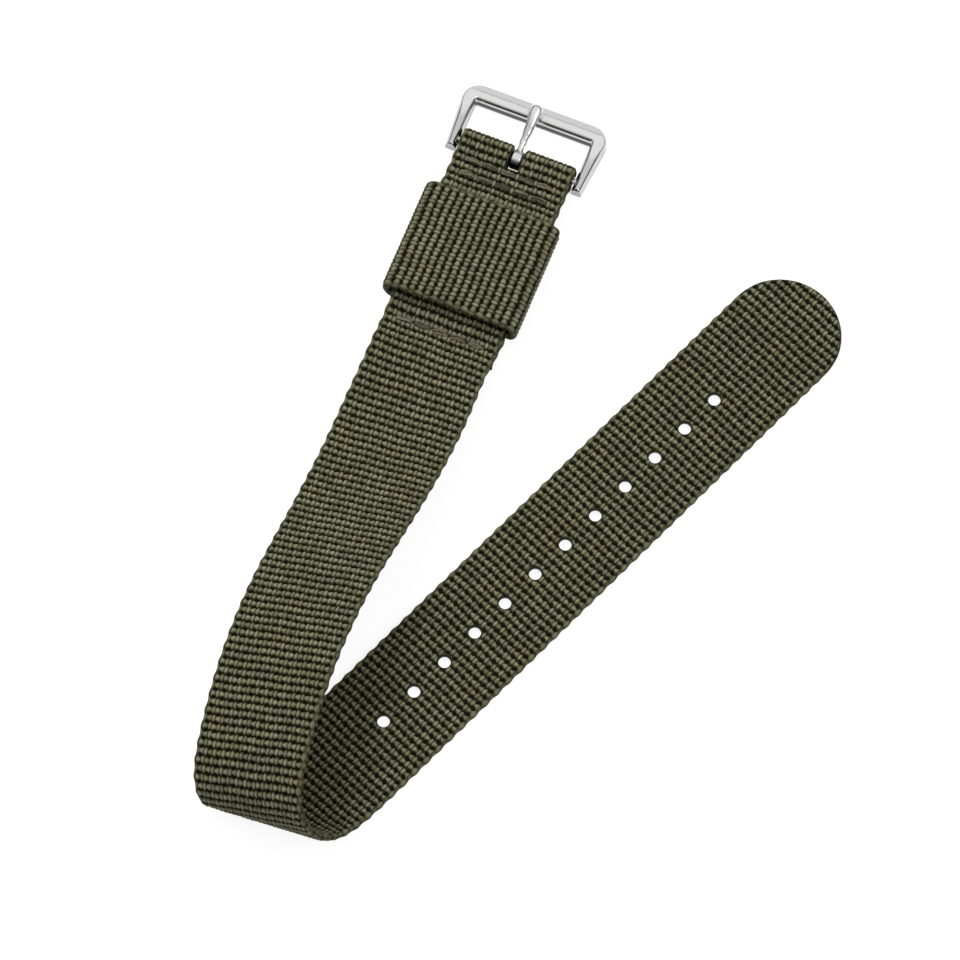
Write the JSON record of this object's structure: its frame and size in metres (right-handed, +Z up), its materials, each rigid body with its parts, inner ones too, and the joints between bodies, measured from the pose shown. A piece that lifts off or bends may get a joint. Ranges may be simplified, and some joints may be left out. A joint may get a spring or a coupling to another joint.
{
  "type": "nylon watch strap",
  "caption": "One-piece woven nylon watch strap, folded over itself, with a punched tip leg, a sewn buckle end, a sliding webbing keeper and a steel pin buckle hung on a spring bar.",
  "frame": {"origin": "middle of the footprint, on the table that the folded strap lies on", "axes": "+Y along the upper leg towards the buckle, +X along the spring bar to the right when looking along +Y from above, +Z up from the table"},
  "size_m": [0.0671, 0.1214, 0.0178],
  "materials": {
    "webbing": "coarse ribbed nylon webbing, olive",
    "thread": "thick multi-filament sewing thread, olive brown",
    "steel": "polished steel with satin bevels"
  },
  "bodies": {
    "strap": {"band": "webbing", "fold_seam": "thread", "tail_seam": "thread"},
    "keeper": {"keeper": "webbing", "keeper_seam": "thread"},
    "buckle": {"buckle_frame": "steel", "bar_tube": "steel", "bar_spring": "steel"},
    "tongue": {"buckle_tongue": "steel"},
    "bar_tip_left": {"bar_tip_left": "steel"},
    "bar_tip_right": {"bar_tip_right": "steel"}
  },
  "joints": [
    {"name": "keeper_slide", "type": "slide", "parent": "strap", "child": "keeper", "axis": [0, 1, 0], "range_m": [-0.0009, 0.0009]},
    {"name": "buckle_pivot", "type": "hinge", "parent": "strap", "child": "buckle", "pos_m": [-0.022, 0.05099, 0.00206], "axis": [1, 0, 0], "range_deg": [-140, 10]},
    {"name": "tongue_pivot", "type": "hinge", "parent": "buckle", "child": "tongue", "pos_m": [-0.022, 0.05099, 0.00206], "axis": [1, 0, 0], "range_deg": [0, 90]},
    {"name": "bar_tip_left_slide", "type": "slide", "parent": "buckle", "child": "bar_tip_left", "axis": [1, 0, 0], "range_m": [0, 0.00105], "stiffness_N_per_m": 500, "springref_m": -0.001, "deforming": ["bar_spring"]},
    {"name": "bar_tip_right_slide", "type": "slide", "parent": "buckle", "child": "bar_tip_right", "axis": [-1, 0, 0], "range_m": [0, 0.00105], "stiffness_N_per_m": 500, "springref_m": -0.001, "deforming": ["bar_spring"]}
  ]
}
